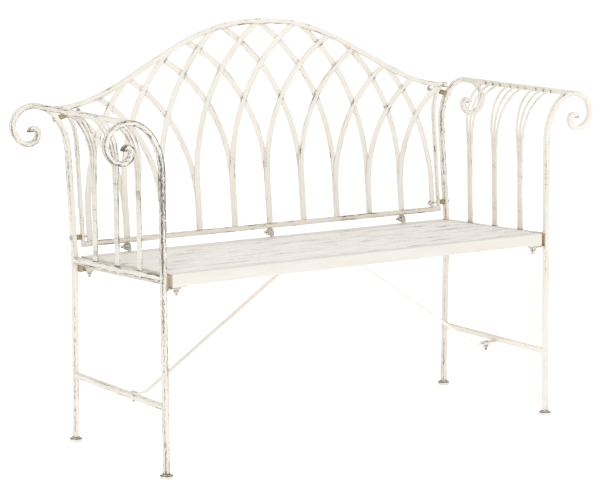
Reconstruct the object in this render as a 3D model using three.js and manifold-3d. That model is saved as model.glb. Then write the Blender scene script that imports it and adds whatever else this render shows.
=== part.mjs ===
// Painted steel garden bench: two scrolled side frames, an arched lattice back, a slatted seat, two braces.
// Millimetres, +X to the right end as seen from the front, +Y to the back, +Z up.
// The origin is under the middle of the bench, on the ground.
import * as THREE from "three";
import { mergeVertices } from "three/addons/utils/BufferGeometryUtils.js";
import Module from "manifold-3d";

const wasm = await Module();
wasm.setup();

// ---------- driving dimensions ----------
const GAP = 0.3; // clearance left between touching pieces
const POST_SPAN = 1042; // between the post axes, end to end of the bench
const SIDE_DEPTH = 370; // between front and rear post axes at the seat
const SEAT_HEIGHT = 430; // top of the seat at its front edge
const SEAT_TILT = 2.3; // degrees, lower at the back
const ARM_RISE = 319.5; // axis of the armrest rail, above the front edge of the seat
const FRONT_LEAN = 1.5; // degrees, whole front post leans back
const BACK_LEAN = 6.6; // degrees, back panel and rear posts above the seat

const POST_BAR = 11.5; // square bar of the posts
const ARM_BAR = 11.5; // square bar of the armrest
const SIDE_RAIL_WIDE = 12;
const SIDE_RAIL_TALL = 13;
const STRETCHER_BAR = 12;
const STRETCHER_HEIGHT = 150;
const FOOT_RADIUS = 14.5;
const FOOT_THICK = 9;
const ROD_RADIUS = 3;
const ROD_PITCH = 5.4; // rods are welded side by side
const ROD_FAN = 27; // spread of the outer rods at the armrest
const FAN_HEIGHT = 130; // above the side rail where the rods part

// half axes of the quarter arcs that make the arm and its scroll, [across, up]
const CROWN_ARC = [78, 109];
const OUTER_ARC = [54, 44];
const UNDER_ARC = [38, 38];
const INNER_ARC = [23, 22];
const CURL_ARC = [11, 11];
const TIP_ARC = [8, 8];

const SEAT_INSET = 18; // from the post axes in to the ends of the seat panel
const APRON_TALL = 26;
const PLATE = 3; // thickness of angles, slats and lugs
const FRONT_FLANGE = 24;
const REAR_FLANGE = 33;
const SLAT_COUNT = 7;
const SLAT_GAP = 6;
const CROSS_BAR_PLACE = 36; // each side of the middle
const CROSS_BAR_WIDE = 20;
const FRONT_EDGE_AHEAD = 7; // seat's front edge ahead of the front post axis
const REAR_EDGE_BEHIND = 4; // and its rear edge behind the rear post axis

const BACK_INSET = 19; // from the post axes in to the outer faces of the stiles
const BACK_DEEP = 8; // back frame bars, front to back
const BACK_RAIL_TALL = 12;
const STILE_WIDE = 8;
const BACK_CLEAR = 20; // from the seat's rear edge height up to the bottom rail
const TIP_HEIGHT = 301; // ogee of the top rail above the bottom rail's axis
const OGEE_RISE = 173;
const TIP_BEYOND = 24; // tips of the top rail beyond the post axes
const OGEE_POWER = 1.15;
const STILE_FLARE = [44, 83]; // arc at the stile's top, across and up
const STILE_STRAIGHT = 221;

const STRIP_WIDE = 14;
const STRIP_THICK = 3;
const BAYS = 10;
const FIRST_FOOT = 17; // from a stile's axis to the nearest foot of a strip
// how the strips' ends on the top rail are spaced, against their feet
const CROWN_SPREAD = 3.8; // wider, past the middle
const SHOULDER_SHORT = 16.6; // short of three feet, for the first on the falling part
const SHOULDER_TIGHT = 12.2; // closer, beyond it
const NEAR_SPREAD = 24.8; // wider, on the strips' own side of the middle
const SPRING_HIGH = 110; // strips to the crown rise straight this far before they bend
const SPRING_LOW = 60; // and the ones to the shoulders this far

const BOLT_RADIUS = 2.5;
const BOLT_CLEAR = 0.35;
const HEAD_RADIUS = 5.5;
const HEAD_THICK = 3.5;
const NUT_RADIUS = 4.8;
const NUT_THICK = 4;
const BOLT_TAIL = 3;

// the back's bolts, each set a little to one side so that it passes the end strip
const BACK_BOLT_RADIUS = 2;
const BACK_BOLT_ASIDE = 1.2;
const BACK_HEAD_RADIUS = 5;
const BACK_NUT_RADIUS = 4;
const BACK_NUT_THICK = 3.2;
const SPACER_RADIUS = 5.5;
const BACK_BOLTS = [
  { name: "low", up: 16.3, tilt: 0, layer: -1, nutReach: 24.6, clear: GAP },
  { name: "high", up: 287, tilt: 15, layer: 1, nutReach: 26, clear: 3 * GAP },
];

const BRACE_WIDE = 14;
const BRACE_THICK = 3;
const BRACE_INSET = 31; // from the post axes in to the brace bolts
const BRACE_AHEAD = 9; // the braces lie this far in front of the stretchers' middle
const BRACE_KNEE = 29; // from the bolt to the lower bend
const BRACE_TOP = 6; // from the cross bar's middle out to the upper bend
const BRACE_BOLT_TAIL = 10;
const TAB_SUNK = 1; // weld depth of the brace tab in the stretcher
const TAB_WIDE = 20;
const CORNER_TAB = 36; // reach of the post's lug under the seat corner

// ---------- derived ----------
const rad = THREE.MathUtils.degToRad;
const side = POST_SPAN / 2;
const frontY = -SIDE_DEPTH / 2;
const rearY = SIDE_DEPTH / 2;
const seatHalf = side - SEAT_INSET;
const seatDeep = FRONT_EDGE_AHEAD + SIDE_DEPTH + REAR_EDGE_BEHIND;
const armHeight = SEAT_HEIGHT + ARM_RISE;
const ogeeHalf = side + TIP_BEYOND;
const braceBolt = side - BRACE_INSET;
const seatFrontY = frontY - FRONT_EDGE_AHEAD;
const seatZ = (y) => SEAT_HEIGHT - (y - seatFrontY) * Math.tan(rad(SEAT_TILT));
const frontPostY = (z) => frontY + (z - seatZ(frontY)) * Math.tan(rad(FRONT_LEAN));
const rearBendZ = seatZ(rearY);
const rearPostY = (z) => rearY + Math.max(0, z - rearBendZ) * Math.tan(rad(BACK_LEAN));
const sideRailZ = (y) => seatZ(y) - 1 - SIDE_RAIL_TALL / 2;
const scrollStart = armHeight - CROWN_ARC[1];

// ---------- helpers ----------
const bench = new THREE.Group();

const cream = (roughness = 0.5, color = 0xece5d8) =>
  new THREE.MeshStandardMaterial({ color, roughness, metalness: 0.1 });

function addMesh(parent, name, geometry, material = cream()) {
  const mesh = new THREE.Mesh(geometry, material);
  mesh.name = name;
  parent.add(mesh);
  return mesh;
}

// A path whose stations are the points handed to it, with the mean direction at each.
class Route extends THREE.Curve {
  constructor(points) {
    super();
    this.points = points;
  }

  at(u) {
    const last = this.points.length - 1;
    const place = Math.min(Math.max(u, 0), 1) * last;
    const index = Math.min(Math.floor(place + 1e-9), last - 1);
    return [index, place - index];
  }

  getPoint(u, target = new THREE.Vector3()) {
    const [index, part] = this.at(u);
    return target.lerpVectors(this.points[index], this.points[index + 1], part);
  }

  getPointAt(u, target) {
    return this.getPoint(u, target);
  }

  getTangent(u, target = new THREE.Vector3()) {
    const nearest = Math.round(u * (this.points.length - 1));
    const before = this.points[Math.max(nearest - 1, 0)];
    const after = this.points[Math.min(nearest + 1, this.points.length - 1)];
    return target.subVectors(after, before).normalize();
  }

  getTangentAt(u, target) {
    return this.getTangent(u, target);
  }
}

// A bar carried along points. For a path in an X-Z plane, "deep" lies along Y and "wide" in the plane.
function sweep(points, deep, wide) {
  // the extrusion turns its section a quarter when the path starts level, so the sides are swapped
  const [a, b] = points[0].z === points[1].z ? [wide, deep] : [deep, wide];
  const section = new THREE.Shape([
    new THREE.Vector2(-a / 2, -b / 2),
    new THREE.Vector2(a / 2, -b / 2),
    new THREE.Vector2(a / 2, b / 2),
    new THREE.Vector2(-a / 2, b / 2),
  ]);
  return new THREE.ExtrudeGeometry(section, {
    steps: points.length - 1,
    extrudePath: new Route(points),
  });
}

// A round bar in few facets, with the round bar's own cross-section area.
function roundSweep(points, radius, facets = 6) {
  const turn = (2 * Math.PI) / facets;
  const reach = radius * Math.sqrt(turn / Math.sin(turn));
  const section = new THREE.Shape();
  for (let k = 0; k < facets; k += 1) {
    const angle = turn * (k + 0.5);
    const corner = [reach * Math.cos(angle), reach * Math.sin(angle)];
    if (k === 0) section.moveTo(...corner);
    else section.lineTo(...corner);
  }
  return new THREE.ExtrudeGeometry(section, {
    steps: points.length - 1,
    extrudePath: new Route(points),
  });
}

function box(x0, x1, y0, y1, z0, z1) {
  const geometry = new THREE.BoxGeometry(x1 - x0, y1 - y0, z1 - z0);
  return geometry.translate((x0 + x1) / 2, (y0 + y1) / 2, (z0 + z1) / 2);
}

function rodAlongX(x0, x1, radius, y, z, facets = 10) {
  const geometry = new THREE.CylinderGeometry(radius, radius, Math.abs(x1 - x0), facets);
  return geometry.rotateZ(Math.PI / 2).translate((x0 + x1) / 2, y, z);
}

function rodAlongZ(z0, z1, radius, x, y, facets = 10) {
  const geometry = new THREE.CylinderGeometry(radius, radius, z1 - z0, facets);
  return geometry.rotateX(Math.PI / 2).translate(x, y, (z0 + z1) / 2);
}

function solid(geometry) {
  const bare = geometry.clone();
  bare.deleteAttribute("normal");
  bare.deleteAttribute("uv");
  const merged = mergeVertices(bare, 1e-4);
  return new wasm.Manifold(
    new wasm.Mesh({
      numProp: 3,
      vertProperties: new Float32Array(merged.attributes.position.array),
      triVerts: new Uint32Array(merged.index.array),
    }),
  );
}

function shell(manifold) {
  const mesh = manifold.getMesh();
  const geometry = new THREE.BufferGeometry();
  geometry.setAttribute("position", new THREE.BufferAttribute(new Float32Array(mesh.vertProperties), 3));
  geometry.setIndex(new THREE.BufferAttribute(new Uint32Array(mesh.triVerts), 1));
  return geometry;
}

function joined(...geometries) {
  return geometries.map(solid).reduce((sum, next) => sum.add(next));
}

// The same piece for the other end of the bench, its triangles turned to keep facing outward.
function mirrorX(geometry, sign) {
  if (sign > 0) return geometry;
  const bare = geometry.clone();
  bare.deleteAttribute("normal");
  bare.deleteAttribute("uv");
  const flipped = mergeVertices(bare, 1e-4).scale(-1, 1, 1);
  const corners = flipped.index.array;
  for (let k = 0; k < corners.length; k += 3) [corners[k], corners[k + 1]] = [corners[k + 1], corners[k]];
  return flipped;
}

// ---------- arm outline: [outward, height] from the post axis, from the scroll's start to its tip ----------
function quarter(from, across, up, startAngle, steps) {
  // a quarter of an ellipse; the centre is found from the start point and its angle
  const centre = [from[0] - across * Math.cos(startAngle), from[1] - up * Math.sin(startAngle)];
  const points = [];
  for (let k = 1; k <= steps; k += 1) {
    const angle = startAngle - (Math.PI / 2) * (k / steps);
    points.push([centre[0] + across * Math.cos(angle), centre[1] + up * Math.sin(angle)]);
  }
  return points;
}

function armOutline() {
  const points = [[0, scrollStart]];
  const arcs = [
    [CROWN_ARC, Math.PI, 8],
    [OUTER_ARC, Math.PI / 2, 6],
    [UNDER_ARC, 0, 5],
    [INNER_ARC, -Math.PI / 2, 5],
    [CURL_ARC, -Math.PI, 4],
    [TIP_ARC, Math.PI / 2, 4],
  ];
  for (const [[across, up], startAngle, steps] of arcs) {
    points.push(...quarter(points[points.length - 1], across, up, startAngle, steps));
  }
  return points;
}

// ---------- side frames ----------
const footTop = FOOT_THICK;

function postPoints(postY) {
  const points = [];
  const low = footTop + GAP;
  const heights = [low, rearBendZ - 30, rearBendZ - 10, rearBendZ + 10, rearBendZ + 30];
  for (const z of heights) points.push(new THREE.Vector3(side, postY(z), z));
  for (const [u, z] of armOutline()) points.push(new THREE.Vector3(side + u, postY(z), z));
  return points;
}

const cornerLugTop = (y) => seatZ(y) - APRON_TALL - PLATE - 3 * GAP;

function cornerLug(y, towardPost) {
  // angle welded to the inner face of a post, its foot under the seat's corner
  const face = side - SIDE_RAIL_WIDE / 2 - GAP;
  const top = cornerLugTop(y);
  const half = TAB_WIDE / 2;
  const postEdge = y + towardPost * half;
  const weld = [postEdge, postEdge - towardPost * 5].sort((a, b) => a - b);
  const tall = APRON_TALL + PLATE;
  const upright = box(face - PLATE, face, y - half, y + half, top - PLATE, top + tall);
  const seam = box(face - 1, side - POST_BAR / 4, ...weld, top - PLATE, top + tall);
  const foot = box(face - CORNER_TAB, face - 0.5, y - half, y + half, top - PLATE, top);
  const holeX = face - CORNER_TAB + half - 2;
  const hole = rodAlongZ(top - PLATE - 2, top + 2, BOLT_RADIUS + BOLT_CLEAR, holeX, y);
  return joined(upright, seam, foot).subtract(solid(hole));
}

const lugY = { front: frontY + 5, rear: rearY - 5 };
const backOrigin = new THREE.Vector3(0, 0, seatZ(rearY) + BACK_CLEAR + BACK_RAIL_TALL / 2);
backOrigin.y = rearPostY(backOrigin.z);
const backPanel = new THREE.Group();
backPanel.position.copy(backOrigin);
backPanel.rotation.x = -rad(BACK_LEAN);
backPanel.updateMatrix();

// outward shift of post and stile at a height
function flare(up, [across, rise], start) {
  const part = THREE.MathUtils.clamp((up - start) / rise, 0, 1);
  return across * (1 - Math.sqrt(1 - part * part));
}
const postShift = (up) => flare(backOrigin.z + up * Math.cos(rad(BACK_LEAN)), CROWN_ARC, scrollStart);
const stileShift = (up) => flare(up, STILE_FLARE, STILE_STRAIGHT);
const stileAxis = side - BACK_INSET - STILE_WIDE / 2;
const nodePitch = (stileAxis - FIRST_FOOT) / (BAYS / 2);
const shoulderStart = 3 * nodePitch - SHOULDER_SHORT;
const slopeOf = (shift, up) => Math.atan(shift(up + 0.5) - shift(up - 0.5));

// distance along a back bolt from the stile's axis to the rear post's
function boltSpan({ up, tilt }) {
  let near = 0;
  let far = 2 * (side - stileAxis);
  for (let k = 0; k < 30; k += 1) {
    const middle = (near + far) / 2;
    const x = stileAxis + stileShift(up) + middle * Math.cos(rad(tilt));
    if (x < side + postShift(up - middle * Math.sin(rad(tilt)))) near = middle;
    else far = middle;
  }
  return near;
}

// a round or six-sided length on a back bolt's axis, in the back panel's own frame
function onBolt(bolt, from, to, radius, aside, facets = 10) {
  const piece = rodAlongX(from, to, radius, 0, 0, facets).rotateY(rad(bolt.tilt));
  return piece.translate(stileAxis + stileShift(bolt.up), aside, bolt.up);
}

const asideOf = (bolt, sign) => bolt.layer * sign * BACK_BOLT_ASIDE;
const boltHole = (bolt, sign) =>
  onBolt(bolt, -60, 90, BACK_BOLT_RADIUS + GAP, asideOf(bolt, sign));

function post(which, sign) {
  const postY = which === "front" ? frontPostY : rearPostY;
  const lug = cornerLug(lugY[which], which === "front" ? -1 : 1);
  let body = solid(sweep(postPoints(postY), POST_BAR, POST_BAR)).add(lug);
  if (which === "rear") {
    for (const bolt of BACK_BOLTS) {
      body = body.subtract(solid(boltHole(bolt, sign).applyMatrix4(backPanel.matrix)));
    }
  }
  return shell(body);
}

function foot(which) {
  const postY = which === "front" ? frontPostY : rearPostY;
  const profile = [
    [0, 0],
    [FOOT_RADIUS - 1, 0],
    [FOOT_RADIUS, 1],
    [FOOT_RADIUS, FOOT_THICK * 0.55],
    [FOOT_RADIUS - 2, FOOT_THICK * 0.7],
    [POST_BAR * 0.8, FOOT_THICK],
    [0, FOOT_THICK],
  ].map(([r, z]) => new THREE.Vector2(r, z));
  return new THREE.LatheGeometry(profile, 16).rotateX(Math.PI / 2).translate(side, postY(0), 0);
}

function armRail() {
  const x = side + CROWN_ARC[0];
  // the ends are square, so the lean of each post takes a little more room
  const inset = (lean) => POST_BAR / 2 / Math.cos(lean) + (ARM_BAR / 2) * Math.tan(lean) + GAP;
  const start = new THREE.Vector3(x, frontPostY(armHeight) + inset(rad(FRONT_LEAN)), armHeight);
  const end = new THREE.Vector3(x, rearPostY(armHeight) - inset(rad(BACK_LEAN)), armHeight);
  return sweep([start, end], ARM_BAR, ARM_BAR);
}

function sideRail() {
  const inset = POST_BAR / 2 + GAP;
  const y0 = frontY + inset;
  const y1 = rearY - inset;
  const bar = box(-SIDE_RAIL_WIDE / 2, SIDE_RAIL_WIDE / 2, y0, y1, -SIDE_RAIL_TALL / 2, SIDE_RAIL_TALL / 2);
  const middle = (y0 + y1) / 2;
  const drop = new THREE.Matrix4().makeShear(0, 0, 0, -Math.tan(rad(SEAT_TILT)), 0, 0);
  return bar.applyMatrix4(drop).translate(side, 0, sideRailZ(middle) + middle * Math.tan(rad(SEAT_TILT)));
}

const stretcherMiddle = (frontPostY(STRETCHER_HEIGHT) + rearY) / 2;
const braceY = stretcherMiddle - BRACE_AHEAD;
const tabTop = STRETCHER_HEIGHT - STRETCHER_BAR / 2 + TAB_SUNK;

function stretcher() {
  const inset = POST_BAR / 2 + GAP;
  const half = STRETCHER_BAR / 2;
  const y0 = frontPostY(STRETCHER_HEIGHT) + inset;
  const z = STRETCHER_HEIGHT;
  const bar = box(side - half, side + half, y0, rearY - inset, z - half, z + half);
  const tab = box(braceBolt - TAB_WIDE / 2, side - half + 1, braceY - TAB_WIDE / 2,
    braceY + TAB_WIDE / 2, tabTop - PLATE, tabTop);
  const hole = rodAlongZ(tabTop - 8, tabTop + 5, BOLT_RADIUS + BOLT_CLEAR, braceBolt, braceY);
  return shell(joined(bar, tab).subtract(solid(hole)));
}

function rodPoints(baseY, offset) {
  const foot = sideRailZ(baseY) + SIDE_RAIL_TALL / 2 + 2 * GAP;
  const lean = Math.tan(rad(SEAT_TILT));
  const points = [];
  const place = (u, z) => {
    const part = THREE.MathUtils.clamp((z - foot - FAN_HEIGHT) / (armHeight - foot - FAN_HEIGHT), 0, 1);
    const spread = ROD_PITCH + (ROD_FAN - ROD_PITCH) * part ** 2;
    points.push(new THREE.Vector3(side + u, baseY + (z - foot) * lean + offset * spread, z));
  };
  place(0, foot);
  place(0, foot + FAN_HEIGHT);
  place(0, (foot + FAN_HEIGHT + scrollStart) / 2);
  place(0, scrollStart);
  const steps = 8;
  for (const [u, z] of quarter([0, scrollStart], ...CROWN_ARC, Math.PI, steps)) place(u, z);
  return points;
}

function spindleGroup(baseY) {
  const rods = [-1, 0, 1].map((offset) => roundSweep(rodPoints(baseY, offset), ROD_RADIUS));
  const body = joined(...rods);
  // cut by the armrest with the clearance left round it
  const x = side + CROWN_ARC[0];
  const half = ARM_BAR / 2 + GAP;
  const cutter = box(x - half, x + 60, baseY - 90, baseY + 90, armHeight - half, armHeight + 60);
  return shell(body.subtract(solid(cutter)));
}

for (const [word, sign] of [["left", -1], ["right", 1]]) {
  for (const which of ["front", "rear"]) {
    addMesh(bench, `${word}_${which}_post`, mirrorX(post(which, sign), sign));
    addMesh(bench, `${word}_${which}_foot`, mirrorX(foot(which), sign));
  }
  addMesh(bench, `${word}_arm_rail`, mirrorX(armRail(), sign));
  addMesh(bench, `${word}_side_rail`, mirrorX(sideRail(), sign));
  addMesh(bench, `${word}_stretcher`, mirrorX(stretcher(), sign));
  for (const [number, share] of [["front", -0.25], ["middle", 0], ["rear", 0.25]]) {
    addMesh(bench, `${word}_spindles_${number}`, mirrorX(spindleGroup(share * SIDE_DEPTH), sign));
  }
}

// ---------- back panel, drawn in its own plane and leaned ----------
bench.add(backPanel);

const ogee = (x) => {
  const part = Math.min(Math.abs(x) / ogeeHalf, 1) ** OGEE_POWER;
  return TIP_HEIGHT + (OGEE_RISE * (1 + Math.cos(Math.PI * part))) / 2;
};

function ogeePoints(count) {
  const points = [];
  for (let k = 0; k <= count; k += 1) {
    const x = -ogeeHalf + (2 * ogeeHalf * k) / count;
    points.push(new THREE.Vector3(x, 0, ogee(x)));
  }
  return points;
}

function stilePoints() {
  const heights = [-BACK_RAIL_TALL / 2, STILE_STRAIGHT];
  const points = heights.map((z) => new THREE.Vector3(stileAxis, 0, z));
  const last = rad(74);
  const steps = 7;
  for (let k = 1; k <= steps; k += 1) {
    const angle = (last * k) / steps;
    const x = stileAxis + STILE_FLARE[0] * (1 - Math.cos(angle));
    points.push(new THREE.Vector3(x, 0, STILE_STRAIGHT + STILE_FLARE[1] * Math.sin(angle)));
  }
  return points;
}

const railCutter = solid(sweep(ogeePoints(48), BACK_DEEP + 2 * GAP, BACK_RAIL_TALL + 2 * GAP));

function stile(sign) {
  let body = solid(sweep(stilePoints(), BACK_DEEP, STILE_WIDE)).subtract(railCutter);
  for (const bolt of BACK_BOLTS) body = body.subtract(solid(boltHole(bolt, sign)));
  return shell(body);
}

const lugPlaces = [-4, 0, 4].map((bay) => bay * nodePitch);
const lugDrop = 17;
const lugWide = 14;

function bottomRail() {
  const end = stileAxis - STILE_WIDE / 2 - GAP;
  const half = BACK_RAIL_TALL / 2;
  const bar = box(-end, end, -BACK_DEEP / 2, BACK_DEEP / 2, -half, half);
  const lugs = lugPlaces.map((x) => box(x - PLATE, x, -lugWide / 2, lugWide / 2, -half - lugDrop, -half + 1));
  const holeZ = -half - lugDrop / 2;
  const holes = lugPlaces.map((x) => rodAlongX(x - 10, x + 10, BOLT_RADIUS + BOLT_CLEAR, 0, holeZ));
  return shell(holes.map(solid).reduce((sum, next) => sum.subtract(next), joined(bar, ...lugs)));
}

addMesh(backPanel, "back_top_rail", sweep(ogeePoints(48), BACK_DEEP, BACK_RAIL_TALL));
addMesh(backPanel, "back_bottom_rail", bottomRail());
addMesh(backPanel, "back_left_stile", mirrorX(stile(-1), -1));
addMesh(backPanel, "back_right_stile", stile(1));

// the clear opening inside the back frame, less the clearance, as a prism that trims every strip
function opening() {
  const inner = STILE_WIDE / 2 + GAP;
  const under = BACK_RAIL_TALL / 2 + GAP;
  const right = [new THREE.Vector2(stileAxis - inner, under)];
  const axis = stilePoints();
  const route = new Route(axis);
  for (let k = 1; k < axis.length; k += 1) {
    const along = route.getTangent(k / (axis.length - 1));
    const x = axis[k].x - along.z * inner;
    const z = axis[k].z + along.x * inner;
    if (z < ogee(x) - under - 2) right.push(new THREE.Vector2(x, z));
  }
  const rail = ogeePoints(48);
  const railRoute = new Route(rail);
  const top = [];
  const widest = right[right.length - 1].x + 4;
  for (let k = rail.length - 1; k >= 0; k -= 1) {
    const along = railRoute.getTangent(k / (rail.length - 1));
    const x = rail[k].x + along.z * under;
    if (Math.abs(x) < widest) top.push(new THREE.Vector2(x, rail[k].z - along.x * under));
  }
  const left = right.map((p) => new THREE.Vector2(-p.x, p.y)).reverse();
  const outline = new THREE.Shape([...right, ...top, ...left]);
  const prism = new THREE.ExtrudeGeometry(outline, { depth: 40, bevelEnabled: false });
  return solid(prism.rotateX(Math.PI / 2).translate(0, 20, 0));
}

const clearOpening = opening();

// where the strip that starts at a bay's foot lands on the top rail
function landing(bay) {
  const steps = bay + 2;
  if (steps < 0) return steps * (nodePitch + NEAR_SPREAD);
  if (steps < 3) return steps * (nodePitch + CROWN_SPREAD);
  return shoulderStart + (steps - 3) * (nodePitch - SHOULDER_TIGHT);
}

// a strip rises straight, then follows a circle that is tangent to it and passes through its landing
function stripPoints(bay) {
  const foot = bay * nodePitch;
  const reach = landing(bay) - foot;
  const spring = Math.abs(landing(bay)) > shoulderStart ? SPRING_LOW : SPRING_HIGH;
  const climb = ogee(landing(bay)) - spring;
  const radius = (reach * reach + climb * climb) / (2 * reach);
  const sweepAngle = Math.atan2(climb, radius - reach);
  const steps = 9;
  const points = [new THREE.Vector3(foot, 0, 0), new THREE.Vector3(foot, 0, spring * 0.7)];
  for (let k = 0; k <= steps; k += 1) {
    const angle = (sweepAngle * k) / steps;
    const x = foot + radius * (1 - Math.cos(angle));
    points.push(new THREE.Vector3(x, 0, spring + radius * Math.sin(angle)));
  }
  return points;
}

const allBoltHoles = joined(
  ...BACK_BOLTS.flatMap((bolt) => [-1, 1].map((sign) => mirrorX(boltHole(bolt, sign), sign))),
);

// the front layer's strips bend to the right as they rise, the rear layer's to the left
function strip(bay, layer) {
  const y = (layer * (STRIP_THICK + GAP)) / 2;
  const points = stripPoints(bay).map((p) => new THREE.Vector3(-layer * p.x, y, p.z));
  const body = solid(sweep(points, STRIP_THICK, STRIP_WIDE));
  return shell(body.intersect(clearOpening).subtract(allBoltHoles));
}

for (let k = 0; k < BAYS; k += 1) {
  addMesh(backPanel, `back_strip_front_${k + 1}`, strip(k - BAYS / 2, -1));
  addMesh(backPanel, `back_strip_rear_${k + 1}`, strip(k - BAYS / 2, 1));
}

// ---------- bolts that hold the back to the rear posts ----------
function backBolt(bolt, sign) {
  const aside = asideOf(bolt, sign);
  const span = boltSpan(bolt);
  // room for a bar that isn't quite square to the bolt
  const room = (half, radius, skew) =>
    half / Math.cos(skew) + radius * Math.tan(Math.abs(skew)) + bolt.clear;
  const stileSkew = slopeOf(stileShift, bolt.up) - rad(bolt.tilt);
  const postSkew = slopeOf(postShift, bolt.up - span * Math.sin(rad(bolt.tilt))) - rad(bolt.tilt);
  const head = span + room(POST_BAR / 2, BACK_HEAD_RADIUS, postSkew);
  const atStile = room(STILE_WIDE / 2, SPACER_RADIUS, stileSkew);
  const atPost = span - room(POST_BAR / 2, SPACER_RADIUS, postSkew);
  const nut = -bolt.nutReach;
  return shell(joined(
    onBolt(bolt, nut - BACK_NUT_THICK - BOLT_TAIL, head + 1, BACK_BOLT_RADIUS, aside),
    onBolt(bolt, head, head + HEAD_THICK, BACK_HEAD_RADIUS, aside),
    onBolt(bolt, atStile, atPost, SPACER_RADIUS, aside),
    onBolt(bolt, nut - BACK_NUT_THICK, nut, BACK_NUT_RADIUS, aside, 6),
  ));
}

for (const [word, sign] of [["left", -1], ["right", 1]]) {
  for (const bolt of BACK_BOLTS) {
    const geometry = mirrorX(backBolt(bolt, sign), sign);
    addMesh(backPanel, `${word}_back_bolt_${bolt.name}`, geometry, cream(0.4, 0xd8d0c0));
  }
}

// ---------- seat panel, drawn level from its front edge and tilted ----------
const seat = new THREE.Group();
seat.position.set(0, seatFrontY, SEAT_HEIGHT);
seat.rotation.x = -rad(SEAT_TILT);
bench.add(seat);

const slatDeep = (seatDeep - FRONT_FLANGE - REAR_FLANGE - (SLAT_COUNT + 1) * SLAT_GAP) / SLAT_COUNT;

function seatFrame() {
  const h = seatHalf;
  const pieces = [
    box(-h, h, 0, PLATE, -APRON_TALL, 0),
    box(-h, h, 0, FRONT_FLANGE, -PLATE, 0),
    box(-h, h, seatDeep - PLATE, seatDeep, -APRON_TALL, 0),
    box(-h, h, seatDeep - REAR_FLANGE, seatDeep, -PLATE, 0),
  ];
  for (const sign of [-1, 1]) {
    const outer = Math.max(sign * h, sign * (h - PLATE));
    const ledge = [sign * (h - CROSS_BAR_WIDE), sign * h].sort((a, b) => a - b);
    pieces.push(box(outer - PLATE, outer, 0, seatDeep, -APRON_TALL, 0));
    pieces.push(box(ledge[0], ledge[1], 0, seatDeep, -2 * PLATE - GAP, -PLATE - GAP));
    for (const y of [0, seatDeep - TAB_WIDE - 6]) {
      const gusset = [sign * (h - CORNER_TAB), sign * h].sort((a, b) => a - b);
      pieces.push(box(gusset[0], gusset[1], y, y + TAB_WIDE + 6, -APRON_TALL - PLATE, -APRON_TALL + 1));
    }
    const x = sign * CROSS_BAR_PLACE;
    const half = CROSS_BAR_WIDE / 2;
    pieces.push(box(x - half, x + half, 1, seatDeep - 1, -2 * PLATE - GAP, -PLATE - GAP));
  }
  for (const x of lugPlaces) {
    pieces.push(box(x + GAP, x + PLATE + GAP, seatDeep - lugWide, seatDeep, -PLATE, 15));
  }
  let body = joined(...pieces);
  for (const x of lugPlaces) {
    const hole = rodAlongX(x - 10, x + 10, BOLT_RADIUS + BOLT_CLEAR, seatDeep - lugWide / 2, 8.5);
    body = body.subtract(solid(hole));
  }
  return shell(body);
}

addMesh(seat, "seat_frame", seatFrame());

for (let k = 0; k < SLAT_COUNT; k += 1) {
  const y0 = FRONT_FLANGE + SLAT_GAP + k * (slatDeep + SLAT_GAP);
  const end = seatHalf - PLATE - GAP;
  addMesh(seat, `seat_slat_${k + 1}`, box(-end, end, y0, y0 + slatDeep, -PLATE, 0));
}

// ---------- braces ----------
function bracePoints() {
  const y = braceY;
  const low = tabTop - PLATE - GAP - BRACE_THICK / 2;
  const high = seatZ(y) - 2 * PLATE - 3 * GAP - BRACE_THICK / 2;
  const turn = 12;
  const topBend = CROSS_BAR_PLACE + BRACE_TOP;
  const topEnd = topBend - turn - 2;
  const lowBend = braceBolt - BRACE_KNEE;
  const slope = (high - low) / (lowBend - topBend);
  const drop = turn * slope;
  return [
    [topEnd, high],
    [topBend - turn, high],
    [topBend, high - drop * 0.3],
    [topBend + turn, high - drop],
    [lowBend - turn, low + drop],
    [lowBend, low + drop * 0.3],
    [lowBend + turn, low],
    [braceBolt + TAB_WIDE / 2 - 1, low],
  ].map(([x, z]) => new THREE.Vector3(x, y, z));
}

for (const [word, sign] of [["left", -1], ["right", 1]]) {
  const points = bracePoints();
  const low = points[points.length - 1].z;
  const hole = rodAlongZ(low - 6, low + 6, BOLT_RADIUS + BOLT_CLEAR, braceBolt, braceY);
  const brace = shell(solid(sweep(points, BRACE_WIDE, BRACE_THICK)).subtract(solid(hole)));
  addMesh(bench, `${word}_brace`, mirrorX(brace, sign));
  const bottom = low - BRACE_THICK / 2 - GAP;
  const bolt = joined(
    rodAlongZ(bottom - NUT_THICK - BRACE_BOLT_TAIL, tabTop + GAP + 1, BOLT_RADIUS, braceBolt, braceY),
    rodAlongZ(bottom - NUT_THICK, bottom, NUT_RADIUS, braceBolt, braceY, 6),
    rodAlongZ(tabTop + GAP, tabTop + GAP + HEAD_THICK, HEAD_RADIUS, braceBolt, braceY),
  );
  addMesh(bench, `${word}_brace_bolt`, mirrorX(shell(bolt), sign), cream(0.4, 0xd8d0c0));
}

// ---------- stand the bench on the ground with the middle of its box over the origin ----------
bench.updateMatrixWorld(true);
const bounds = new THREE.Box3().setFromObject(bench, true);
const middle = bounds.getCenter(new THREE.Vector3());
bench.position.set(-middle.x, -middle.y, -bounds.min.z);

export default bench;
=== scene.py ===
import math

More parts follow.
